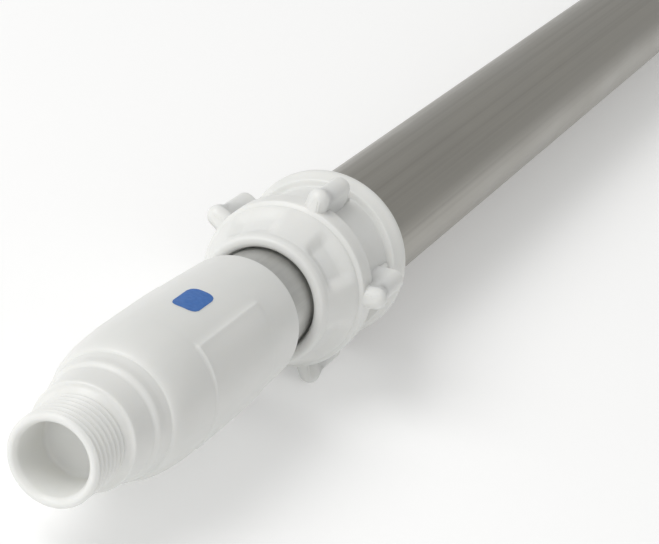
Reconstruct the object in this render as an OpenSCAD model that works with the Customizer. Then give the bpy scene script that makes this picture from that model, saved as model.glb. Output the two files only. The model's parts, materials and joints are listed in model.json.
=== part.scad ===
// Telescopic extension pole. The pole's axis is +X, from the threaded tip to the grip.
// The origin is the centre of the tip's front face, and +Z is up.

/* [Tubes] */
// Outer tube's outside diameter
outer_tube_d = 32; // [31.8:0.1:32.2]
// Inner tube's outside diameter
inner_tube_d = 26; // [25.9:0.1:26.1]
// Wall of both tubes
tube_wall = 1.5; // [1.4:0.05:1.6]
// Length of the closed pole, from the tip's face to the end cap
closed_length = 1305; // [1100:5:1600]
// How far the inner tube pulls out
travel_out = 505; // [300:5:600]

/* [Threaded tip] */
// Major diameter of the tool thread
thread_d = 20.96; // [20.5:0.02:21.2]
// Pitch of the tool thread
thread_pitch = 1.814; // [1.5:0.002:2]
// Radius of the moulded hollow in the tip's face
tip_hollow_r = 8; // [7:0.1:8.4]
// Largest diameter of the tip's body
tip_body_d = 33.4; // [33:0.1:34]
// Height of the two raised pads on the tip's sides
pad_height = 0.4; // [0.2:0.1:0.6]
// Length of the tip, from its face to its rear shoulder
tip_length = 92.4; // [88:0.4:96]

/* [Lock collar] */
// Front of the collar's mouth
collar_front = 105.4; // [102:0.2:108]
// Number of grip lugs
lug_count = 5; // [4:1:6]
// Radius of the circle that the lugs' crests touch
lug_crest_r = 26.2; // [24:0.1:26.2]
// Radius of a lug's rounded back
lug_round_r = 2.7; // [2.4:0.1:3]
// Radius of the front flange
front_flange_r = 21.3; // [20.6:0.1:21.8]
// Radius of the rear flange
rear_flange_r = 21.8; // [21.4:0.1:22.4]

/* [Grip and end cap] */
// Length of the grip sleeve
grip_length = 135; // [100:5:200]
// Outside diameter of the grip sleeve
grip_d = 37; // [36.6:0.2:40]
// Width of each of the anti-roll ring's six flats
ring_flat_w = 22; // [18:0.5:24]
// Radius of the hanging hole
hang_hole_r = 4.5; // [3.5:0.5:5.5]

/* [Hidden] */
$fn = 96;

// Overshoot of every cut, so that no faces coincide
cut = 1;
// Radial clearance of the parts that slide or turn on each other
running = 0.05;
// Radial gap between pieces that are fixed to each other
seat = 0.05;
// Gap that is left at each end stop
stop_gap = 0.4;

// Tube radii
outer_r = outer_tube_d / 2;
outer_bore_r = outer_r - tube_wall;
inner_r = inner_tube_d / 2;
inner_bore_r = inner_r - tube_wall;

// Threaded tip, along X
thread_r = thread_d / 2;
thread_depth = 0.64 * thread_pitch;
thread_start = 1.2;
thread_turns = 6;
crest_w = 0.3 * thread_pitch;
flank_w = 0.25 * thread_pitch;
hollow_depth = 12;
neck_x = 13.6;
neck_r = 12.3;
band_x = 21;
band_r = 13.7;
shoulder_x = 26.4;
shoulder_r = 14.4;
shoulder_len = 18;
tip_body_r = tip_body_d / 2;
tip_waist_x = 64;
tip_rear_r = 15.8;
tip_socket_depth = 18;
tip_socket_x = tip_length - tip_socket_depth;
tip_spigot_end = tip_length + 29;
tip_core_r = 8;
tip_core_x = 30;
pad_x = 43.4;
pad_len = 33;
pad_span = 90;
pad_angles = [116, 296];
tip_ring_x = tip_length + 12;

// Lock collar, along X
collar_len = 44;
collar_rear = collar_front + collar_len;
rim_r = 16.5;
front_flange_x = collar_front + 14;
front_flange_w = 6;
rear_flange_w = 6.5;
window_r = 18.4;
collar_mouth_r = inner_r + 0.5;
seal_x = collar_front + 2.5;
seal_w = 3;
seal_r = 15;
ring_bay_x = seal_x + seal_w + 1.2;
thread_bay_x = collar_front + 16;
collar_thread_r = 17;
lug_x = collar_front + 14;
lug_len = 18;
lug_bar_drop = 1.2;
lug_pitch_angle = 360 / lug_count;
lug_rest_angle = 270 + lug_pitch_angle / 2;
pocket_angle = 46;
pocket_depth = 1.4;

// Thrust ring and collet, along X
thrust_x = ring_bay_x + 0.3;
thrust_len = 7;
thrust_r = 15.6;
thrust_cone_r = 15.2;
finger_x = thrust_x + 3.2;
finger_tip_r = 13.9;
finger_root_x = finger_x + 7;
finger_r = 15.1;
slot_count = 6;
slot_w = 1.6;
slot_len = 22;
collet_thread_x = thread_bay_x + 2;
collet_thread_r = collar_thread_r - 0.1;
outer_tube_x = collar_front + 40;
collet_rear = outer_tube_x + 47;
collet_bore_r = inner_r + running;

// Rear end of the inner tube, along X
buffer_w = 4;
inner_tube_end = collet_rear + stop_gap + travel_out + buffer_w;
bush_len = 60;
bush_r = outer_bore_r - 0.5;
bush_spigot_len = 38;
bush_core_r = 8;
wear_ring_w = 8;
wear_groove_gap = 0.3;
wear_groove_r = inner_r + 0.2;
wear_ring_split = 2;
wear_front_x = inner_tube_end + 6;
wear_rear_x = inner_tube_end + bush_len - 6 - wear_ring_w;

// Grip and end cap, along X
cap_dome_len = 22;
cap_flange_w = 8;
cap_flange_x = closed_length - cap_dome_len - cap_flange_w;
outer_tube_end = cap_flange_x - 0.2;
grip_x = outer_tube_end - grip_length;
grip_r = grip_d / 2;
end_ring_w = 12;
end_ring_sides = 6;
grip_groove_depth = 0.7;
grip_groove_pitch = 12;
grip_groove_w = 3.5;
grip_groove_count = floor((grip_length - 42) / grip_groove_pitch);
end_ring_x = outer_tube_end - end_ring_w;
grip_end = end_ring_x - seat;
cap_spigot_len = 38;
cap_core_r = 9;
cap_flat_y = 8;
hang_x = closed_length - 12;

// Rivets
rivet_r = 1.6;
rivet_head_r = 3.2;
rivet_head_h = 0.9;
rivet_angles = [0, 320];
tip_rivet_x = tip_length - 8;
collet_rivet_x = outer_tube_x + 24;
bush_rivet_x = inner_tube_end - 20;
cap_rivet_x = end_ring_x - 8;

// Seals
o_ring_r = 1.3;
o_ring_groove_w = 3;
cap_ring_x = cap_flange_x - 30;

// Colours
white_pp = [0.93, 0.93, 0.91];
aluminium = [0.68, 0.67, 0.64];
acetal = [0.85, 0.85, 0.82];
dark_rubber = [0.18, 0.18, 0.18];
pale_rubber = [0.78, 0.78, 0.76];
rivet_metal = [0.75, 0.75, 0.76];

// Turns a shape that stands on +Z so that it lies along +X
module along_x() {
    rotate([0, 90, 0])
        children();
}

// Solid of revolution about X, from points [radius, x]
module turned(points) {
    along_x()
        rotate_extrude()
            polygon(points);
}

// Plain round bar from x0 to x1
module bar(x0, x1, r) {
    translate([x0, 0, 0])
        along_x()
            cylinder(h = x1 - x0, r = r);
}

// Plain tube from x0 to x1
module pipe(x0, x1, r_out, r_in) {
    difference() {
        bar(x0, x1, r_out);
        bar(x0 - cut, x1 + cut, r_in);
    }
}

// Round pin along a radius, from radius r0 to r1
module radial_pin(x, angle, r0, r1, r) {
    rotate([angle, 0, 0])
        translate([x, r0, 0])
            rotate([-90, 0, 0])
                cylinder(h = r1 - r0, r = r, $fn = 32);
}

// One clearance hole for each rivet at x
module rivet_holes(x, r0, r1) {
    for (angle = rivet_angles)
        radial_pin(x, angle, r0, r1, rivet_r + seat);
}

// Blind rivets with low heads that sit on radius r_skin
module rivets(x, r_tail, r_skin) {
    for (angle = rivet_angles) {
        radial_pin(x, angle, r_tail, r_skin + rivet_head_h / 2, rivet_r);
        radial_pin(x, angle, r_skin, r_skin + rivet_head_h, rivet_head_r);
    }
}

// Ring groove for an O-ring on a spigot of radius r
module ring_groove(x, r) {
    pipe(x - o_ring_groove_w / 2, x + o_ring_groove_w / 2, r + cut, r - 2 * o_ring_r - seat);
}

// O-ring whose outside touches a bore of radius r
module o_ring(x, r) {
    color(dark_rubber)
        translate([x, 0, 0])
            along_x()
                rotate_extrude()
                    translate([r - o_ring_r, 0])
                        circle(r = o_ring_r, $fn = 24);
}

// Outline of the thread's turns, as [radius, x]
function thread_outline() = [
    for (turn = [0:thread_turns - 1])
        let (x = thread_start + turn * thread_pitch)
            each [
                [thread_r, x],
                [thread_r, x + crest_w],
                [thread_r - thread_depth, x + crest_w + flank_w],
                [thread_r - thread_depth, x + thread_pitch - flank_w]
            ]
];

// Outline of the tip's shoulder, a quarter of an ellipse
function shoulder_outline() = [
    for (a = [0:10:90])
        [
            shoulder_r + (tip_body_r - shoulder_r) * sin(a),
            shoulder_x + shoulder_len * (1 - cos(a))
        ]
];

// Low raised pad on the tip's side, from angle (from +Y towards +Z) on
module raised_pad(angle) {
    along_x()
        rotate([0, 0, angle + 90])
            rotate_extrude(angle = pad_span)
                polygon([
                    [tip_body_r - 2, pad_x],
                    [tip_body_r + pad_height, pad_x],
                    [tip_body_r + pad_height, tip_waist_x],
                    [tip_body_r + pad_height - 0.3, pad_x + pad_len],
                    [tip_body_r - 2, pad_x + pad_len]
                ]);
}

module thread_tip() {
    thread_stop = thread_start + thread_turns * thread_pitch;
    color(white_pp)
        difference() {
            union() {
                turned(concat(
                    [[0, 0], [thread_r - 0.6, 0]],
                    thread_outline(),
                    [
                        [thread_r, thread_stop],
                        [thread_r + 0.8, neck_x],
                        [neck_r, neck_x],
                        [neck_r + 0.6, band_x],
                        [band_r, band_x + 2.2]
                    ],
                    shoulder_outline(),
                    [
                        [tip_body_r, tip_waist_x],
                        [tip_body_r - 0.3, tip_waist_x + 14],
                        [tip_rear_r, tip_length],
                        [0, tip_length]
                    ]
                ));
                bar(tip_length - cut, tip_spigot_end, inner_bore_r - seat);
                for (angle = pad_angles)
                    raised_pad(angle);
            }
            // Moulded hollow in the front face, with a rounded mouth
            turned([
                [0, -cut],
                [tip_hollow_r + 0.6 + cut, -cut],
                [tip_hollow_r, 1],
                [tip_hollow_r, hollow_depth],
                [0, hollow_depth]
            ]);
            // Hollow core, open at the rear
            bar(tip_core_x, tip_spigot_end + cut, tip_core_r);
            // Socket that takes the inner tube's front end
            pipe(tip_socket_x, tip_length + cut, inner_r + seat, inner_bore_r - seat);
            ring_groove(tip_ring_x, inner_bore_r - seat);
            rivet_holes(tip_rivet_x, tip_core_r - cut, tip_body_r + cut);
        }
}

module tip_o_ring() {
    o_ring(tip_ring_x, inner_bore_r - seat);
}

module tip_rivets() {
    color(rivet_metal)
        rivets(tip_rivet_x, tip_core_r + 0.5, tip_rear_r + 0.55);
}

module inner_tube() {
    color(aluminium)
        difference() {
            pipe(tip_socket_x + seat, inner_tube_end, inner_r, inner_bore_r);
            rivet_holes(tip_rivet_x, inner_bore_r - cut, inner_r + cut);
            rivet_holes(bush_rivet_x, inner_bore_r - cut, inner_r + cut);
        }
}

module rear_bush() {
    color(acetal)
        difference() {
            union() {
                bar(inner_tube_end + seat, inner_tube_end + bush_len, bush_r);
                bar(inner_tube_end - bush_spigot_len, inner_tube_end + cut, inner_bore_r - seat);
            }
            bar(inner_tube_end - bush_spigot_len - cut, inner_tube_end + bush_len + cut, bush_core_r);
            for (x = [wear_front_x, wear_rear_x])
                pipe(x - wear_groove_gap, x + wear_ring_w + wear_groove_gap, bush_r + cut, wear_groove_r);
            rivet_holes(bush_rivet_x, bush_core_r - cut, inner_bore_r + cut);
        }
}

// Flush rivets, because this stretch of the tube runs through the collet
module bush_rivets() {
    color(rivet_metal)
        for (angle = rivet_angles)
            radial_pin(bush_rivet_x, angle, bush_core_r + 0.5, inner_r - 0.15, rivet_r);
}

module buffer_ring() {
    color(dark_rubber)
        pipe(inner_tube_end - buffer_w, inner_tube_end, bush_r, inner_r + seat);
}

// Split ring that turns in a groove of the bush and slides in the outer tube
module wear_ring(x) {
    color(white_pp)
        difference() {
            pipe(x, x + wear_ring_w, outer_bore_r - running, wear_groove_r + running);
            translate([x - cut, 0, -wear_ring_split / 2])
                cube([wear_ring_w + 2 * cut, outer_bore_r, wear_ring_split]);
        }
}

module wear_ring_front() {
    wear_ring(wear_front_x);
}

module wear_ring_rear() {
    wear_ring(wear_rear_x);
}

module outer_tube() {
    color(aluminium)
        difference() {
            pipe(outer_tube_x, outer_tube_end, outer_r, outer_bore_r);
            rivet_holes(collet_rivet_x, outer_bore_r - cut, outer_r + cut);
            rivet_holes(cap_rivet_x, outer_bore_r - cut, outer_r + cut);
        }
}

// Slotted fingers, the thread that carries the collar, and the spigot in the outer tube
module collet_body() {
    color(acetal)
        difference() {
            turned([
                [collet_bore_r, finger_x],
                [finger_tip_r, finger_x],
                [finger_r, finger_root_x],
                [finger_r, collet_thread_x - 1.5],
                [collet_thread_r - 0.6, collet_thread_x - 0.5],
                [collet_thread_r, collet_thread_x],
                [collet_thread_r, outer_tube_x - seat],
                [outer_bore_r - seat, outer_tube_x - seat],
                [outer_bore_r - seat, collet_rear],
                [collet_bore_r, collet_rear]
            ]);
            for (i = [0:slot_count - 1])
                rotate([i * 360 / slot_count, 0, 0])
                    translate([finger_x - cut, 0, -slot_w / 2])
                        cube([slot_len + cut, collar_thread_r + cut, slot_w]);
            rivet_holes(collet_rivet_x, collet_bore_r - cut, outer_bore_r + cut);
        }
}

module collet_rivets() {
    color(rivet_metal)
        rivets(collet_rivet_x, collet_bore_r + 0.4, outer_r);
}

// Plain ring that closes the fingers without twisting them
module thrust_ring() {
    color(white_pp)
        difference() {
            bar(thrust_x, thrust_x + thrust_len, thrust_r);
            turned([
                [0, thrust_x - cut],
                [collet_bore_r, thrust_x - cut],
                [collet_bore_r, thrust_x + 2],
                [finger_tip_r + 0.4, thrust_x + 2.9],
                [thrust_cone_r, thrust_x + thrust_len],
                [thrust_cone_r, thrust_x + thrust_len + cut],
                [0, thrust_x + thrust_len + cut]
            ]);
        }
}

// One grip lug along the collar: a ball on a post in front, and a lower bar behind it
module lug() {
    r = lug_round_r;
    bar_r = lug_crest_r - lug_bar_drop - r;
    translate([lug_x + r, collar_thread_r, -r])
        cube([lug_len - r, bar_r - collar_thread_r, 2 * r]);
    translate([0, bar_r, 0])
        bar(lug_x + r, lug_x + lug_len, r);
    translate([lug_x + r, 0, 0])
        rotate([-90, 0, 0])
            cylinder(h = lug_crest_r - r, r = r);
    translate([lug_x + r, lug_crest_r - r, 0])
        sphere(r = r, $fn = 48);
}

// Shallow pocket in the collar's cone, between two webs
module cone_pocket() {
    along_x()
        rotate([0, 0, -pocket_angle / 2])
            rotate_extrude(angle = pocket_angle)
                polygon([
                    [rim_r + 0.6, collar_front + 3.6],
                    [front_flange_r - 1.6, front_flange_x - 1.2],
                    [front_flange_r + cut, front_flange_x - 1.2],
                    [front_flange_r + cut, collar_front - cut],
                    [rim_r + 0.6 + pocket_depth, collar_front - cut]
                ]);
}

module lock_collar() {
    color(white_pp)
        difference() {
            union() {
                turned([
                    [0, collar_front],
                    [rim_r - 1.4, collar_front],
                    [rim_r - 0.4, collar_front + 0.4],
                    [rim_r, collar_front + 1.4],
                    [rim_r, collar_front + 2.4],
                    [front_flange_r - 0.8, front_flange_x - 0.6],
                    [front_flange_r, front_flange_x + 0.4],
                    [front_flange_r, front_flange_x + front_flange_w - 0.8],
                    [front_flange_r - 0.6, front_flange_x + front_flange_w],
                    [window_r, front_flange_x + front_flange_w],
                    [window_r, collar_rear - rear_flange_w],
                    [rear_flange_r - 0.6, collar_rear - rear_flange_w],
                    [rear_flange_r, collar_rear - rear_flange_w + 0.8],
                    [rear_flange_r, collar_rear - 3],
                    [rear_flange_r - 1, collar_rear - 1],
                    [rear_flange_r - 3, collar_rear],
                    [0, collar_rear]
                ]);
                for (i = [0:lug_count - 1])
                    rotate([lug_rest_angle + i * lug_pitch_angle, 0, 0])
                        lug();
            }
            for (i = [0:lug_count - 1])
                rotate([lug_rest_angle + (i + 0.5) * lug_pitch_angle + 90, 0, 0])
                    cone_pocket();
            turned([
                [0, collar_front - cut],
                [collar_mouth_r + 0.8 + cut, collar_front - cut],
                [collar_mouth_r, collar_front + 0.8],
                [collar_mouth_r, seal_x],
                [seal_r + seat, seal_x],
                [seal_r + seat, seal_x + seal_w],
                [collar_mouth_r + 0.6, seal_x + seal_w],
                [collar_mouth_r + 0.6, ring_bay_x],
                [thrust_r + 0.1, ring_bay_x],
                [thrust_r + 0.1, thread_bay_x],
                [collar_thread_r, thread_bay_x + 1.5],
                [collar_thread_r, collar_rear - 1],
                [collar_thread_r + 0.8, collar_rear + cut],
                [0, collar_rear + cut]
            ]);
        }
}

module wiper_seal() {
    color(pale_rubber)
        turned([
            [inner_r + 0.08, seal_x + 0.2],
            [inner_r + 1, seal_x + 0.05],
            [seal_r, seal_x + 0.05],
            [seal_r, seal_x + seal_w - 0.05],
            [inner_r + 0.7, seal_x + seal_w - 0.05],
            [inner_r + 0.7, seal_x + 1.2],
            [inner_r + 0.08, seal_x + 0.7]
        ]);
}

// Outline of the anti-roll ring: wide flats with cut corners between them
function ring_outline() = [
    for (i = [0:end_ring_sides - 1])
        for (side = [-1, 1])
            let (a = i * 360 / end_ring_sides)
                [
                    rear_flange_r * cos(a) - side * ring_flat_w / 2 * sin(a),
                    rear_flange_r * sin(a) + side * ring_flat_w / 2 * cos(a)
                ]
];

// Its flats lie level with the collar's rear flange, so the pole doesn't roll
module anti_roll_ring() {
    color(pale_rubber)
        difference() {
            translate([end_ring_x, 0, 0])
                along_x()
                    linear_extrude(end_ring_w)
                        polygon(ring_outline());
            bar(end_ring_x - cut, outer_tube_end + cut, outer_r + seat);
        }
}

module grip_sleeve() {
    color(white_pp)
        difference() {
            turned([
                [outer_r + seat, grip_x],
                [grip_r - 1.4, grip_x],
                [grip_r, grip_x + 4],
                [grip_r, grip_end - 1],
                [grip_r - 1, grip_end],
                [outer_r + seat, grip_end]
            ]);
            for (i = [0:grip_groove_count - 1])
                translate([grip_x + 12 + i * grip_groove_pitch, 0, 0])
                    pipe(0, grip_groove_w, grip_r + cut, grip_r - grip_groove_depth);
            rivet_holes(cap_rivet_x, outer_r - cut, grip_r + cut);
        }
}

module end_cap() {
    color(white_pp)
        difference() {
            union() {
                turned(concat(
                    [[0, cap_flange_x], [grip_r, cap_flange_x]],
                    [
                        for (a = [0:10:80])
                            [grip_r * cos(a), cap_flange_x + cap_flange_w + cap_dome_len * sin(a)]
                    ],
                    [[0, closed_length]]
                ));
                bar(cap_flange_x - cap_spigot_len, cap_flange_x + cut, outer_bore_r - seat);
            }
            bar(cap_flange_x - cap_spigot_len - cut, cap_flange_x + 3, cap_core_r);
            for (side = [0, 180])
                rotate([side, 0, 0])
                    translate([cap_flange_x + cap_flange_w - 2, cap_flat_y, -grip_r])
                        cube([cap_dome_len + 4, grip_r, 2 * grip_r]);
            translate([hang_x, 0, 0])
                rotate([90, 0, 0])
                    cylinder(h = 2 * grip_r, r = hang_hole_r, center = true);
            ring_groove(cap_ring_x, outer_bore_r - seat);
            rivet_holes(cap_rivet_x, cap_core_r - cut, outer_bore_r + cut);
        }
}

module cap_o_ring() {
    o_ring(cap_ring_x, outer_bore_r - seat);
}

module cap_rivets() {
    color(rivet_metal)
        rivets(cap_rivet_x, cap_core_r + 0.5, grip_r);
}

thread_tip();
tip_o_ring();
tip_rivets();
inner_tube();
rear_bush();
bush_rivets();
buffer_ring();
wear_ring_front();
wear_ring_rear();
outer_tube();
collet_body();
collet_rivets();
thrust_ring();
lock_collar();
wiper_seal();
grip_sleeve();
anti_roll_ring();
end_cap();
cap_o_ring();
cap_rivets();
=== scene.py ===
import json
import math

import bmesh
import bpy
from mathutils import Matrix, Vector


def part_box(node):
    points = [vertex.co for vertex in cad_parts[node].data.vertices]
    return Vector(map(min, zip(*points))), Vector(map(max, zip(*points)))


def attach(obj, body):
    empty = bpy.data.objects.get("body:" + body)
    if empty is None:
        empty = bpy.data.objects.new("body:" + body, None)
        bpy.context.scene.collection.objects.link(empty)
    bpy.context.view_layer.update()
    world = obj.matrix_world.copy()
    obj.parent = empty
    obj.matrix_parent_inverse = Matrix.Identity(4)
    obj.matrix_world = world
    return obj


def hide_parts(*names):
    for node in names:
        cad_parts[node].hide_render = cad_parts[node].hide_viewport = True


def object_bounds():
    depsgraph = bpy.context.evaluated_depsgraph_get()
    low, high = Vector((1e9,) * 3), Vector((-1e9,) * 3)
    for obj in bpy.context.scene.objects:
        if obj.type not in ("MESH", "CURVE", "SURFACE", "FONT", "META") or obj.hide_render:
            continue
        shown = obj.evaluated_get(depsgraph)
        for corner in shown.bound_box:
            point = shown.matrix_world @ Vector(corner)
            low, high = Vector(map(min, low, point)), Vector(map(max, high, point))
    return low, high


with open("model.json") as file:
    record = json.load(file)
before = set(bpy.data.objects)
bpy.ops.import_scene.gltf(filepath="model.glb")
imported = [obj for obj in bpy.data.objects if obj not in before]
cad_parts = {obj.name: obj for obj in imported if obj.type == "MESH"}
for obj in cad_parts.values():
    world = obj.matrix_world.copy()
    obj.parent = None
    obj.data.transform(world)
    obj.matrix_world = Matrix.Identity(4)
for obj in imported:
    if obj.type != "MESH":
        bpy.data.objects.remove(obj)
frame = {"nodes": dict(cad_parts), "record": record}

# Lengths below are in millimetres, and x runs along the pole from the tip's front face.
MM = 0.001
cad_low, cad_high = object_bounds()


def node_span(node):
    """Front and rear of a CAD node along the pole, in millimetres."""
    low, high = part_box(node)
    return low.x / MM, high.x / MM


# ---------------------------------------------------------------- mesh helpers

FILLET_STEPS = 5
SHARP_ANGLE = 40


def fillet_path(points):
    """Rounds the corners of a path of (x, radius, fillet) points."""
    path = []
    last = len(points) - 1
    for i, (x, r, fillet) in enumerate(points):
        here = Vector((x, r))
        if fillet <= 0 or i in (0, last):
            path.append((x, r))
            continue
        before = Vector(points[i - 1][:2]) - here
        after = Vector(points[i + 1][:2]) - here
        reach = min(fillet, 0.48 * before.length, 0.48 * after.length)
        start = here + before.normalized() * reach
        end = here + after.normalized() * reach
        for k in range(FILLET_STEPS + 1):
            t = k / FILLET_STEPS
            spot = start * (1 - t) ** 2 + here * 2 * t * (1 - t) + end * t ** 2
            path.append((spot.x, spot.y))
    return path


def straight(start, end, step):
    """Evenly spaced (x, radius, 0) points between two ends, without the ends."""
    start, end = Vector(start), Vector(end)
    count = max(2, math.ceil((end - start).length / step))
    return [(*start.lerp(end, k / count), 0) for k in range(1, count)]


def mesh_object(name, bm):
    bmesh.ops.remove_doubles(bm, verts=bm.verts, dist=1e-7)
    bmesh.ops.recalc_face_normals(bm, faces=bm.faces)
    mesh = bpy.data.meshes.new(name)
    bm.to_mesh(mesh)
    bm.free()
    for polygon in mesh.polygons:
        polygon.use_smooth = True
    mesh.set_sharp_from_angle(angle=math.radians(SHARP_ANGLE))
    piece = bpy.data.objects.new(name, mesh)
    bpy.context.scene.collection.objects.link(piece)
    return piece


def lathe(name, path, angles, shape=None, closed=False):
    """Solid of revolution about the pole's axis. Angles go from +Y towards +Z, in degrees.
    shape(x, r, angle) gives the radius at a place, and closed joins the path's ends."""
    bm = bmesh.new()
    rings = []
    for x, r in path:
        if r < 1e-6:
            rings.append([bm.verts.new((x * MM, 0, 0))])
            continue
        ring = []
        for angle in angles:
            radius = shape(x, r, angle) if shape else r
            a = math.radians(angle)
            ring.append(bm.verts.new((x * MM, radius * math.cos(a) * MM, radius * math.sin(a) * MM)))
        rings.append(ring)
    pairs = list(zip(rings, rings[1:]))
    if closed:
        pairs.append((rings[-1], rings[0]))
    count = len(angles)
    for one, other in pairs:
        for k in range(count):
            after = (k + 1) % count
            corners = [one[k % len(one)], other[k % len(other)],
                       other[after % len(other)], one[after % len(one)]]
            corners = list(dict.fromkeys(corners))
            if len(corners) > 2:
                bm.faces.new(corners)
    return mesh_object(name, bm)


def even_angles(count):
    return [360 * k / count for k in range(count)]


def smooth_step(value, low, high):
    t = min(1, max(0, (value - low) / (high - low)))
    return t * t * (3 - 2 * t)


def smooth_max(a, b, softness):
    """The larger of two heights, with a small fillet where they cross."""
    h = max(softness - abs(a - b), 0) / softness
    return max(a, b) + h * h * softness / 4


def angle_between(angle, centre):
    """Signed difference of two angles in degrees, from -180 to 180."""
    return (angle - centre + 180) % 360 - 180


# ---------------------------------------------------------------- materials

class Nodes:
    """Short names for making a material's node tree."""

    def __init__(self, name):
        self.material = bpy.data.materials.new(name)
        self.material.use_nodes = True
        self.tree = self.material.node_tree
        self.shader = self.tree.nodes["Principled BSDF"]
        self.place = self.add("ShaderNodeTexCoord").outputs["Object"]

    def add(self, kind, **settings):
        node = self.tree.nodes.new(kind)
        for key, value in settings.items():
            setattr(node, key, value)
        return node

    def link(self, source, target):
        self.tree.links.new(source, target)

    def noise(self, stretch, detail=2.0, roughness=0.5):
        """Noise in cycles per metre along x, y and z."""
        mapping = self.add("ShaderNodeMapping")
        mapping.inputs["Scale"].default_value = stretch
        self.link(self.place, mapping.inputs["Vector"])
        noise = self.add("ShaderNodeTexNoise")
        noise.inputs["Scale"].default_value = 1.0
        noise.inputs["Detail"].default_value = detail
        noise.inputs["Roughness"].default_value = roughness
        self.link(mapping.outputs["Vector"], noise.inputs["Vector"])
        return noise.outputs["Fac"]

    def ramp(self, value, stops):
        node = self.add("ShaderNodeValToRGB")
        ramp = node.color_ramp
        while len(ramp.elements) < len(stops):
            ramp.elements.new(0.5)
        for element, (position, colour) in zip(ramp.elements, stops):
            element.position = position
            element.color = (*colour, 1)
        self.link(value, node.inputs["Fac"])
        return node.outputs["Color"]

    def spread(self, value, low, high):
        """Stretches a noise value, which is mostly between 0.3 and 0.7, over a range."""
        node = self.add("ShaderNodeMapRange")
        node.inputs["From Min"].default_value = 0.3
        node.inputs["From Max"].default_value = 0.7
        node.inputs["To Min"].default_value = low
        node.inputs["To Max"].default_value = high
        self.link(value, node.inputs["Value"])
        return node.outputs["Result"]

    def bump(self, value, height, strength=1.0, under=None):
        node = self.add("ShaderNodeBump")
        node.inputs["Distance"].default_value = height
        node.inputs["Strength"].default_value = strength
        self.link(value, node.inputs["Height"])
        if under is not None:
            self.link(under, node.inputs["Normal"])
        return node.outputs["Normal"]


def moulded_plastic(name, light, dark, glow=0.0):
    """Satin moulded plastic: faint cloudiness, a fine spark-eroded grain and slow sink marks."""
    m = Nodes(name)
    cloud = m.noise((28, 90, 90), detail=3)
    m.link(m.ramp(cloud, [(0.3, dark), (0.7, light)]), m.shader.inputs["Base Color"])
    fine = m.noise((2600, 2600, 2600), detail=2)
    m.link(m.spread(m.noise((160, 420, 420), detail=4), 0.34, 0.46), m.shader.inputs["Roughness"])
    slow = m.bump(m.noise((45, 110, 110), detail=1), 0.00012, 0.35)
    m.link(m.bump(fine, 0.000012, 1.0, slow), m.shader.inputs["Normal"])
    m.shader.inputs["IOR"].default_value = 1.49
    m.shader.inputs["Subsurface Weight"].default_value = glow
    m.shader.inputs["Subsurface Radius"].default_value = (1.0, 0.95, 0.85)
    m.shader.inputs["Subsurface Scale"].default_value = 0.003
    return m.material


def drawn_aluminium(name, light, dark):
    """Satin anodised tube: long faint die lines, fine brushing and a few darker streaks."""
    m = Nodes(name)
    lines = m.noise((0.8, 260, 260), detail=3, roughness=0.65)
    brush = m.noise((14, 2400, 2400), detail=2)
    wear = m.noise((26, 70, 70), detail=5, roughness=0.6)
    tone = m.ramp(lines, [(0.34, dark), (0.5, light), (0.66, tuple(0.93 * c for c in light))])
    mix = m.add("ShaderNodeMix", data_type="RGBA", blend_type="MULTIPLY")
    mix.inputs["Factor"].default_value = 1.0
    m.link(tone, mix.inputs["A"])
    m.link(m.ramp(wear, [(0.35, (0.93, 0.93, 0.93)), (0.6, (1, 1, 1))]), mix.inputs["B"])
    m.link(mix.outputs["Result"], m.shader.inputs["Base Color"])
    m.link(m.spread(wear, 0.30, 0.42), m.shader.inputs["Roughness"])
    deep = m.bump(lines, 0.00006, 0.5)
    m.link(m.bump(brush, 0.000006, 0.8, deep), m.shader.inputs["Normal"])
    m.shader.inputs["Metallic"].default_value = 0.85
    return m.material


def rubber(name, light, dark):
    """Matt rubber, slightly dusty, with a fine moulded skin."""
    m = Nodes(name)
    m.link(m.ramp(m.noise((300, 300, 300), detail=4), [(0.3, dark), (0.7, light)]),
           m.shader.inputs["Base Color"])
    m.link(m.spread(m.noise((500, 500, 500)), 0.6, 0.8), m.shader.inputs["Roughness"])
    m.link(m.bump(m.noise((3000, 3000, 3000)), 0.00002), m.shader.inputs["Normal"])
    return m.material


def pressed_metal(name):
    m = Nodes(name)
    tones = [(0.3, (0.50, 0.50, 0.51)), (0.7, (0.66, 0.66, 0.67))]
    m.link(m.ramp(m.noise((400, 400, 400), detail=4), tones), m.shader.inputs["Base Color"])
    m.link(m.spread(m.noise((900, 900, 900), detail=3), 0.25, 0.45), m.shader.inputs["Roughness"])
    m.link(m.bump(m.noise((1500, 1500, 1500)), 0.00001), m.shader.inputs["Normal"])
    m.shader.inputs["Metallic"].default_value = 1.0
    return m.material


def printed_ink(name):
    m = Nodes(name)
    tones = [(0.3, (0.030, 0.130, 0.420)), (0.7, (0.045, 0.165, 0.480))]
    m.link(m.ramp(m.noise((900, 900, 900), detail=3), tones), m.shader.inputs["Base Color"])
    m.link(m.spread(m.noise((700, 700, 700)), 0.35, 0.5), m.shader.inputs["Roughness"])
    m.link(m.bump(m.noise((2600, 2600, 2600)), 0.00001), m.shader.inputs["Normal"])
    return m.material


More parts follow.
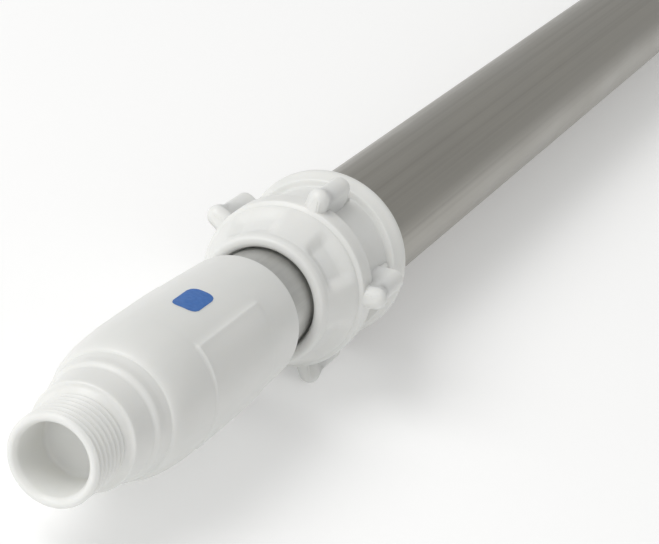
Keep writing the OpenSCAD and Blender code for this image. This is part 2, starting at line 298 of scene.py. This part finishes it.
WHITE = moulded_plastic("white_plastic", (0.80, 0.80, 0.78), (0.76, 0.765, 0.745), glow=0.3)
ACETAL = moulded_plastic("acetal", (0.72, 0.72, 0.68), (0.66, 0.66, 0.62))
WEAR = moulded_plastic("wear_plastic", (0.55, 0.58, 0.58), (0.48, 0.51, 0.51))
OUTER_METAL = drawn_aluminium("outer_aluminium", (0.38, 0.365, 0.33), (0.32, 0.305, 0.275))
INNER_METAL = drawn_aluminium("inner_aluminium", (0.60, 0.60, 0.585), (0.52, 0.52, 0.505))
RUBBER = rubber("rubber", (0.045, 0.045, 0.046), (0.020, 0.020, 0.021))
PALE_RUBBER = rubber("pale_rubber", (0.64, 0.64, 0.62), (0.56, 0.56, 0.545))
RIVET = pressed_metal("rivet_metal")
INK = printed_ink("blue_ink")

SLOT_MATERIALS = {
    "white_plastic": WHITE, "acetal": ACETAL, "wear_plastic": WEAR,
    "rubber": RUBBER, "pale_rubber": PALE_RUBBER,
    "outer_aluminium": OUTER_METAL, "inner_aluminium": INNER_METAL, "rivet_metal": RIVET,
}


def dress(piece, material):
    piece.data.materials.clear()
    piece.data.materials.append(material)


for part in frame["record"]["subparts"]:
    dress(frame["nodes"][part["node"]], SLOT_MATERIALS[part["material_slot"]])


# ---------------------------------------------------------------- threaded tip

SPIGOT_END = node_span("thread_tip")[1]
TUBE_FRONT = node_span("inner_tube")[0]
TIP_REAR = 92.4
HOLLOW_R = 8.0
HOLLOW_END = 12
SOCKET_R = 13.05
SOCKET_GAP = 0.05
SPIGOT_R = 11.45
SPIGOT_BORE_R = 8
SPIGOT_BORE_FRONT = 30
THREAD_R = 10.48
THREAD_PITCH = 1.814
THREAD_DEPTH = 0.85
THREAD_START, THREAD_END = 1.2, 12.3
BODY_R = 16.7
PAD_START, PAD_END = 43.4, 76.4
PAD_HEIGHT = 0.35
PAD_CENTRES = (161, 341)
PAD_HALF_ANGLE = 45
BEAD_HEIGHT = 0.22
BEAD_WIDTH = 0.9


def tip_shape(x, r, angle):
    if THREAD_START - 0.6 < x < THREAD_END + 0.6 and r > THREAD_R - 0.5:
        turn = x / THREAD_PITCH - angle / 360
        ridge = 0.5 + 0.5 * math.cos(2 * math.pi * turn)
        fade = smooth_step(x, THREAD_START - 0.6, THREAD_START + 0.5)
        fade *= 1 - smooth_step(x, THREAD_END - 0.8, THREAD_END + 0.4)
        r -= THREAD_DEPTH * fade * (1 - ridge ** 0.75)
    if r > BODY_R - 1 and PAD_START - 2 < x < PAD_END + 2:
        off_centre = min((angle_between(angle, centre) for centre in PAD_CENTRES), key=abs)
        inside_x = x - PAD_START
        inside_angle = (PAD_HALF_ANGLE - abs(off_centre)) * math.radians(1) * BODY_R
        along = smooth_step(inside_x, -0.4, 0.4) * (1 - smooth_step(x, PAD_END - 2.5, PAD_END + 0.5))
        around = smooth_step(inside_angle, -0.4, 0.4)
        front_bead = math.exp(-(inside_x / BEAD_WIDTH) ** 2) * around
        front_bead *= 1 - smooth_step(off_centre, -20, 0)
        side_bead = math.exp(-(inside_angle / BEAD_WIDTH) ** 2) * along if off_centre < 0 else 0
        r += PAD_HEIGHT * along * around + BEAD_HEIGHT * max(front_bead, side_bead)
    return r


def shoulder(start, end, rise_from, rise_to):
    """Quarter of an ellipse, from the band to the body."""
    points = []
    for k in range(1, 13):
        a = math.radians(90 * k / 12)
        points.append((start + (end - start) * (1 - math.cos(a)),
                       rise_from + (rise_to - rise_from) * math.sin(a), 0))
    return points


def make_tip():
    outline = [
        (HOLLOW_END, 0, 0), (HOLLOW_END, HOLLOW_R, 1.2), (1.1, HOLLOW_R + 0.1, 0.5), (0, HOLLOW_R + 0.9, 0.6),
        (0, THREAD_R - 0.65, 0.6), (0.8, THREAD_R, 0.5),
        *straight((0.9, THREAD_R), (THREAD_END, THREAD_R), 0.13),
        (THREAD_END, THREAD_R, 0), (13.3, 11.2, 0.6), (13.6, 12.3, 0.5), (16, 12.45, 0.8),
        (20.9, 12.85, 0.4), (21.9, 13.8, 0.7), (23.3, 13.8, 0.6), (24.4, 13.85, 0.6), (26.4, 14.3, 0.6),
        *shoulder(26.4, 42.0, 14.3, BODY_R + 0.12),
        *straight((PAD_START - 1.6, BODY_R), (PAD_START + 1.6, BODY_R), 0.25),
        *straight((45, BODY_R), (66, BODY_R), 1.0),
        *straight((66, BODY_R), (78, BODY_R - 0.3), 1.0),
        (84, BODY_R - 0.55, 2), (TIP_REAR - 0.2, 15.85, 0.9), (TIP_REAR, SOCKET_R, 0.4),
        (TUBE_FRONT - SOCKET_GAP, SOCKET_R, 0), (TUBE_FRONT - SOCKET_GAP, SPIGOT_R, 0),
        (SPIGOT_END - 0.6, SPIGOT_R, 0.5), (SPIGOT_END, 10.6, 0.3), (SPIGOT_END, SPIGOT_BORE_R, 0),
        (SPIGOT_BORE_FRONT, SPIGOT_BORE_R, 0), (SPIGOT_BORE_FRONT, 0, 0),
    ]
    tip = lathe("threaded_tip", fillet_path(outline), even_angles(360), tip_shape)
    dress(tip, WHITE)
    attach(tip, "inner_pole")
    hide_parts("thread_tip")


MARK_CENTRE = (58.9, 84)
MARK_LENGTH = 11.5
MARK_WIDTH = 6.5
MARK_CORNER = 2.2
MARK_GAP = 0.03
MARK_THICKNESS = 0.02


def make_mark():
    """A plain printed patch with round corners, wrapped on the tip's body."""
    bm = bmesh.new()
    lift = BODY_R + MARK_GAP
    rows, columns = 16, 24
    skins = []
    for height in (0, MARK_THICKNESS):
        grid = []
        for i in range(rows + 1):
            v = (i / rows * 2 - 1) * MARK_WIDTH / 2
            inset = max(0, abs(v) - (MARK_WIDTH / 2 - MARK_CORNER))
            half = MARK_LENGTH / 2 - MARK_CORNER + math.sqrt(max(0, MARK_CORNER ** 2 - inset ** 2))
            row = []
            for k in range(columns + 1):
                x = MARK_CENTRE[0] + (k / columns * 2 - 1) * half
                a = math.radians(MARK_CENTRE[1]) + v / lift
                r = lift + height
                row.append(bm.verts.new((x * MM, r * math.cos(a) * MM, r * math.sin(a) * MM)))
            grid.append(row)
        skins.append(grid)
    for grid in skins:
        for i in range(rows):
            for k in range(columns):
                bm.faces.new((grid[i][k], grid[i][k + 1], grid[i + 1][k + 1], grid[i + 1][k]))
    low, high = skins
    border = [(0, k) for k in range(columns)] + [(i, columns) for i in range(rows)]
    border += [(rows, k) for k in range(columns, 0, -1)] + [(i, 0) for i in range(rows, 0, -1)]
    for (i, k), (j, m) in zip(border, border[1:] + border[:1]):
        bm.faces.new((low[i][k], low[j][m], high[j][m], high[i][k]))
    mark = mesh_object("printed_patch", bm)
    dress(mark, INK)
    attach(mark, "inner_pole")


# ---------------------------------------------------------------- lock collar

COLLAR_FRONT, COLLAR_REAR = node_span("lock_collar")
LUG_COUNT = 5
LUG_ANGLES = [306 + 360 / LUG_COUNT * k for k in range(LUG_COUNT)]
HALF_PITCH = 180 / LUG_COUNT
LUG_R = 2.7
LUG_CREST = 26.2
BAR_CREST = 25.0
BALL_X = COLLAR_FRONT + 16.7
LUG_REAR = COLLAR_FRONT + 32
LUG_END_ROUND = 0.5
WINDOW_R = 18.4
POCKET_DEPTH = 1.5


def round_back(middle, half_width, angle):
    """Radius of a rounded back and its straight sides, at an angle from its middle."""
    a = math.radians(min(89, abs(angle)))
    if middle * math.sin(a) < half_width:
        return middle * math.cos(a) + math.sqrt(half_width ** 2 - (middle * math.sin(a)) ** 2)
    return half_width / math.sin(a)


def lug_surface(x, angle):
    """Radius of a lug's front ball or of the bar behind it, or 0 clear of both."""
    surface = 0
    from_ball = abs(x - BALL_X)
    if from_ball < LUG_R:
        surface = round_back(LUG_CREST - LUG_R, math.sqrt(LUG_R ** 2 - from_ball ** 2), angle)
    if BALL_X < x < LUG_REAR:
        t = max(0, 1 - (LUG_REAR - x) / LUG_END_ROUND)
        trim = LUG_END_ROUND * (1 - math.sqrt(1 - t * t))
        surface = max(surface, round_back(BAR_CREST - LUG_R, LUG_R - trim, angle))
    return surface


def collar_shape(x, r, angle):
    if r < WINDOW_R - 2.0 and x > COLLAR_FRONT + 2.4 or r < 16:
        return r
    nearest = min((angle_between(angle, lug) for lug in LUG_ANGLES), key=abs)
    if COLLAR_FRONT + 2 < x < COLLAR_FRONT + 14.6:
        inside = 1 - smooth_step(abs(HALF_PITCH - abs(nearest)), 12, 24)
        inside *= smooth_step(x, COLLAR_FRONT + 2.6, COLLAR_FRONT + 6.0)
        inside *= 1 - smooth_step(x, COLLAR_FRONT + 9.5, COLLAR_FRONT + 13.2)
        r -= POCKET_DEPTH * inside
    return smooth_max(r, lug_surface(x, nearest), 0.6)


def collar_angles():
    """Angles that are dense beside each lug's steep sides."""
    offsets = [0, 1.5, 3, 4.2, 5.2, 6, 6.5, 6.85, 7.1, 7.25, 7.45, 7.7, 8.0, 8.3, 8.65, 9.1, 9.8, 10.6]
    offsets += [11.6 + 1.22 * k for k in range(20)]
    offsets.append(HALF_PITCH)
    angles = []
    for lug in LUG_ANGLES:
        angles += [lug - o for o in reversed(offsets) if o not in (0, HALF_PITCH)]
        angles += [lug + o for o in offsets]
    return angles


def make_collar():
    front, rear = COLLAR_FRONT, COLLAR_REAR
    outline = [
        (front + 2.5, 13.5, 0), (front + 0.9, 13.5, 0.8), (front, 14.3, 0.9), (front, 16.0, 0.9),
        (front + 1.6, 16.6, 0.9), (front + 2.8, 16.6, 0.7),
        *straight((front + 3.0, 16.7), (front + 12.6, 20.1), 0.3),
        (front + 13.0, 20.2, 0.5), (front + 13.4, 20.2, 0.3), (front + 14.1, 21.25, 0.6),
        *straight((front + 14.5, 21.3), (front + 19.4, 21.3), 0.35),
        (front + 20, 21.3, 0.7), (front + 20, WINDOW_R, 0.7),
        *straight((front + 20.5, WINDOW_R), (LUG_REAR - LUG_END_ROUND, WINDOW_R), 0.7),
        *straight((LUG_REAR - LUG_END_ROUND, WINDOW_R), (LUG_REAR + 0.1, WINDOW_R), 0.1),
        *straight((LUG_REAR + 0.3, WINDOW_R), (rear - 7.3, WINDOW_R), 0.7),
        (rear - 6.5, WINDOW_R, 0.8), (rear - 6.5, 20.3, 0.6),
        *straight((rear - 6.0, 20.4), (rear - 4.6, 21.0), 0.4),
        (rear - 3.4, 21.75, 1.2), (rear - 1.4, 21.7, 1.2), (rear, 20.0, 1.2), (rear, 17.8, 0.5),
        (rear - 1, 17, 0.4), (front + 17.5, 17, 0), (front + 16, 15.7, 0), (front + 6.7, 15.7, 0),
        (front + 6.7, 14.1, 0), (front + 5.5, 14.1, 0), (front + 5.5, 15.05, 0),
        (front + 2.5, 15.05, 0),
    ]
    collar = lathe("twist_collar", fillet_path(outline), collar_angles(), collar_shape, closed=True)
    dress(collar, WHITE)
    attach(collar, "lock_collar")
    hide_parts("lock_collar")


# ---------------------------------------------------------------- grip sleeve

GRIP_FRONT, GRIP_REAR = node_span("grip_sleeve")
GRIP_R = 18.5
TUBE_R = 16.05
GROOVE_COUNT = 7
GROOVE_PITCH = 12
GROOVE_DEPTH = 0.7


def make_grip():
    outline = [(GRIP_FRONT, TUBE_R, 0), (GRIP_FRONT, GRIP_R - 1.4, 0.8), (GRIP_FRONT + 4, GRIP_R, 2)]
    for k in range(GROOVE_COUNT):
        x = GRIP_FRONT + GROOVE_PITCH * (k + 1)
        outline += [(x, GRIP_R, 1.0), (x + 0.9, GRIP_R - GROOVE_DEPTH, 0.7),
                    (x + 2.6, GRIP_R - GROOVE_DEPTH, 0.7), (x + 3.5, GRIP_R, 1.0)]
    outline += [(GRIP_REAR - 1, GRIP_R, 0.8), (GRIP_REAR, GRIP_R - 1, 0.5), (GRIP_REAR, TUBE_R, 0)]
    grip = lathe("ringed_grip", fillet_path(outline), even_angles(144), closed=True)
    dress(grip, WHITE)
    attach(grip, "outer_pole")
    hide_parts("grip_sleeve")


# ---------------------------------------------------------------- anti-roll ring

RING_FRONT, RING_REAR = node_span("anti_roll_ring")
RING_FLAT_R = 21.8
RING_CORNER_R = 24.2
RING_SIDES = 6


def ring_shape(x, r, angle):
    """Cuts a round ring back to six flats, with soft corners between them."""
    if r < RING_FLAT_R:
        return r
    side = 360 / RING_SIDES
    off_flat = (angle - 90 + side / 2) % side - side / 2
    flat = RING_FLAT_R / math.cos(math.radians(off_flat)) - (RING_CORNER_R - r)
    return -smooth_max(-r, -flat, 0.5)


def make_ring():
    front, rear = RING_FRONT, RING_REAR
    outline = [
        (front, TUBE_R, 0), (front, RING_FLAT_R, 0), (front, RING_CORNER_R - 1, 0.6),
        (front + 1, RING_CORNER_R, 0.6), (rear - 1, RING_CORNER_R, 0.6), (rear, RING_CORNER_R - 1, 0.6),
        (rear, RING_FLAT_R, 0), (rear, TUBE_R, 0),
    ]
    ring = lathe("bumper_ring", fillet_path(outline), even_angles(180), ring_shape, closed=True)
    dress(ring, PALE_RUBBER)
    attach(ring, "outer_pole")
    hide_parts("anti_roll_ring")


# ---------------------------------------------------------------- stage

FLOOR_SIZE = 14.0
FLOOR_GLOW = 0.2
FLOOR_GAP = 0.0002
CAMERA_PLACE = Vector((-391.3, -133.5, 251.9)) * MM
CAMERA_AHEAD = Vector((0.88219, 0.21369, -0.41963)).normalized()
CAMERA_UP = Vector((0.29327, 0.44788, 0.84466))
CAMERA_ROLL = math.radians(0.3)
CAMERA_LENS = 131.1
CAMERA_SENSOR = 36


def make_camera():
    """A long lens in front of the tip. It is rolled, because the pole rests on
    the collar's rear flange and on a flat of the anti-roll ring."""
    data = bpy.data.cameras.new("camera")
    data.sensor_width = CAMERA_SENSOR
    data.lens = CAMERA_LENS
    data.clip_start = 0.01
    data.clip_end = 50
    camera = bpy.data.objects.new("camera", data)
    right = CAMERA_AHEAD.cross(CAMERA_UP).normalized()
    up = right.cross(CAMERA_AHEAD)
    turn = Matrix.Rotation(-CAMERA_ROLL, 3, CAMERA_AHEAD)
    axes = Matrix((turn @ right, turn @ up, -CAMERA_AHEAD)).transposed()
    camera.matrix_world = Matrix.Translation(CAMERA_PLACE) @ axes.to_4x4()
    bpy.context.scene.collection.objects.link(camera)
    bpy.context.scene.camera = camera


def make_floor():
    bm = bmesh.new()
    half = FLOOR_SIZE / 2
    height = cad_low.z - FLOOR_GAP
    corners = ((-half, -half), (half, -half), (half, half), (-half, half))
    bm.faces.new([bm.verts.new((x, y, height)) for x, y in corners])
    floor = mesh_object("floor", bm)
    m = Nodes("floor_paint")
    tones = [(0.3, (0.90, 0.90, 0.90)), (0.7, (0.92, 0.92, 0.92))]
    m.link(m.ramp(m.noise((3, 3, 3), detail=2), tones), m.shader.inputs["Base Color"])
    m.shader.inputs["Roughness"].default_value = 0.9
    m.shader.inputs["Emission Color"].default_value = (1, 1, 1, 1)
    m.shader.inputs["Emission Strength"].default_value = FLOOR_GLOW
    dress(floor, m.material)


def area_light(name, place, aim, size, power):
    data = bpy.data.lights.new(name, "AREA")
    data.shape = "RECTANGLE"
    data.size, data.size_y = size
    data.energy = power
    light = bpy.data.objects.new(name, data)
    light.location = place
    light.rotation_mode = "QUATERNION"
    light.rotation_quaternion = (Vector(aim) - Vector(place)).to_track_quat("-Z", "Y")
    bpy.context.scene.collection.objects.link(light)


def make_light():
    world = bpy.data.worlds.new("studio")
    bpy.context.scene.world = world
    world.use_nodes = True
    background = world.node_tree.nodes["Background"]
    background.inputs["Color"].default_value = (1.0, 1.0, 0.985, 1)
    background.inputs["Strength"].default_value = 0.5
    area_light("key", place=(-1.1, 1.3, 1.9), aim=(0.15, 0, 0), size=(1.5, 1.5), power=34)
    area_light("front", place=(-1.7, 0.1, 0.5), aim=(0.05, 0, 0), size=(0.8, 0.8), power=3)
    bpy.context.scene.view_settings.view_transform = "Standard"


make_camera()
make_floor()
make_light()
make_tip()
make_mark()
make_collar()
make_grip()
make_ring()
